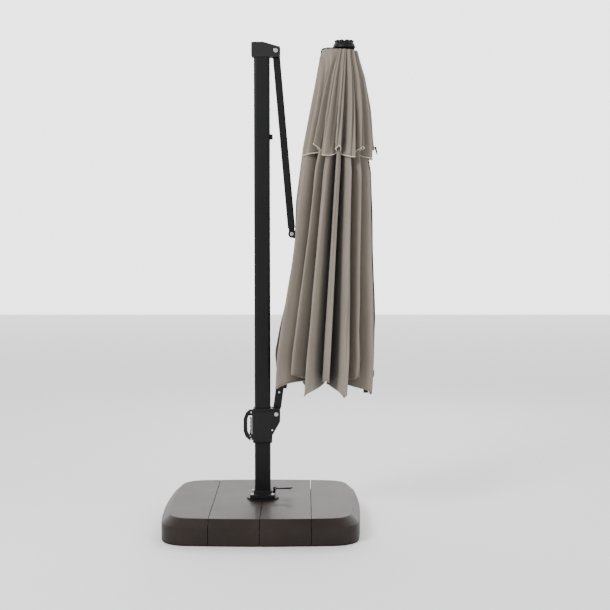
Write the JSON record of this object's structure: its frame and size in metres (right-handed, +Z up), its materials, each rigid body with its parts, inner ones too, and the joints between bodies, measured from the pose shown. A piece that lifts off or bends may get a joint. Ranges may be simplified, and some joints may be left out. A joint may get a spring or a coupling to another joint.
{
  "type": "cantilever parasol",
  "caption": "Folded cantilever parasol: square weighted base, swivelling mast, strut and boom worked by a sliding handle, ribbed head with pleated two-tier cloth.",
  "frame": {"origin": "on the mast's axis, at the underside of the base", "axes": "+Z up, +X from the mast towards the canopy"},
  "size_m": [1.0693, 0.985, 2.428],
  "materials": {
    "black_frame": "satin powder coat",
    "dark_casting": "textured powder coat",
    "galvanised": "dull zinc grey",
    "bolt_steel": "zinc plated",
    "black_plastic": "fine grain",
    "liner_plastic": "plain nylon",
    "base_plastic": "glossy dark brown",
    "ballast": "cast concrete",
    "canopy_cloth": "woven taupe"
  },
  "bodies": {
    "base": {"base_tray": "base_plastic", "cross_frame": "galvanised", "ballast_slabs": "ballast", "base_column": "dark_casting", "column_bolts": "bolt_steel", "swivel_spigot": "bolt_steel", "swivel_washer": "liner_plastic", "cover_left": "base_plastic", "cover_centre_left": "base_plastic", "cover_centre_right": "base_plastic", "cover_right": "base_plastic"},
    "mast": {"mast_flange": "dark_casting", "mast_tube": "black_frame", "mast_collar": "dark_casting", "flange_bolts": "bolt_steel", "mast_cap": "dark_casting", "cap_screw": "bolt_steel", "strut_pivot_bolt": "bolt_steel", "stop_block": "black_plastic", "pedal_bracket": "dark_casting", "pedal_pin": "bolt_steel"},
    "pedal": {"foot_pedal": "dark_casting"},
    "lock": {"lock_pin": "bolt_steel"},
    "strut": {"strut_tube": "black_frame", "strut_upper_eye": "black_frame", "strut_lower_eye": "black_frame", "strut_bushes": "liner_plastic"},
    "boom": {"boom_tube": "black_frame", "boom_lower_eye": "black_frame", "boom_upper_eye": "black_frame", "boom_lug": "black_frame", "lug_bolt": "bolt_steel", "boom_screws": "bolt_steel"},
    "slider": {"slider_front_shell": "black_plastic", "slider_back_shell": "black_plastic", "slide_liners": "liner_plastic", "slider_pivot_pin": "bolt_steel", "grip": "black_plastic", "trigger_pin": "bolt_steel", "shell_screws": "bolt_steel"},
    "trigger": {"grip_trigger": "black_plastic"},
    "head": {"head_bracket": "dark_casting", "head_pivot_pin": "bolt_steel", "hub": "black_plastic", "centre_post": "black_frame", "top_cap": "black_plastic", "vent_canopy": "canopy_cloth", "main_canopy": "canopy_cloth", "rib_1": "black_frame", "rib_2": "black_frame", "rib_3": "black_frame", "rib_4": "black_frame", "rib_5": "black_frame", "rib_6": "black_frame", "rib_7": "black_frame", "rib_8": "black_frame", "rib_end_caps": "black_plastic", "stretchers": "black_frame", "runner": "black_plastic"}
  },
  "joints": [
    {"name": "mast_swivel", "type": "hinge", "parent": "base", "child": "mast", "pos_m": [0, 0, 0.135], "axis": [0, 0, 1], "continuous": true},
    {"name": "strut_swing", "type": "hinge", "parent": "mast", "child": "strut", "pos_m": [0.07, 0, 2.377], "axis": [0, -1, 0], "range_deg": [0, 70]},
    {"name": "boom_fold", "type": "hinge", "parent": "strut", "child": "boom", "pos_m": [0.14949, 0, 1.46847], "axis": [0, -1, 0], "range_deg": [-141, 1]},
    {"name": "slider_pivot", "type": "hinge", "parent": "boom", "child": "slider", "pos_m": [0.07, 0, 0.55994], "axis": [0, -1, 0], "range_deg": [-1, 71]},
    {"name": "head_pivot", "type": "hinge", "parent": "boom", "child": "head", "pos_m": [0.31129, 0, 2.37396], "axis": [0, -1, 0], "range_deg": [-1, 71]},
    {"name": "pedal_tip", "type": "hinge", "parent": "mast", "child": "pedal", "pos_m": [0.063, 0.03, 0.168], "axis": [0, 1, 0], "range_deg": [0, 22], "stiffness_Nm_per_rad": 8, "springref_deg": -8.59},
    {"name": "lock_lift", "type": "slide", "parent": "mast", "child": "lock", "axis": [0, 0, 1], "range_m": [-0.0005, 0.006]},
    {"name": "trigger_pull", "type": "hinge", "parent": "slider", "child": "trigger", "pos_m": [-0.062, 0, 0.445], "axis": [0, -1, 0], "range_deg": [0, 5], "stiffness_Nm_per_rad": 4, "springref_deg": -5.73}
  ],
  "couplings": [
    {"joint": "boom_fold", "follows": "strut_swing", "ratio": -2},
    {"joint": "slider_pivot", "follows": "strut_swing", "ratio": 1},
    {"joint": "head_pivot", "follows": "strut_swing", "ratio": 1},
    {"joint": "lock_lift", "follows": "pedal_tip", "m_per_rad": 0.0115}
  ]
}
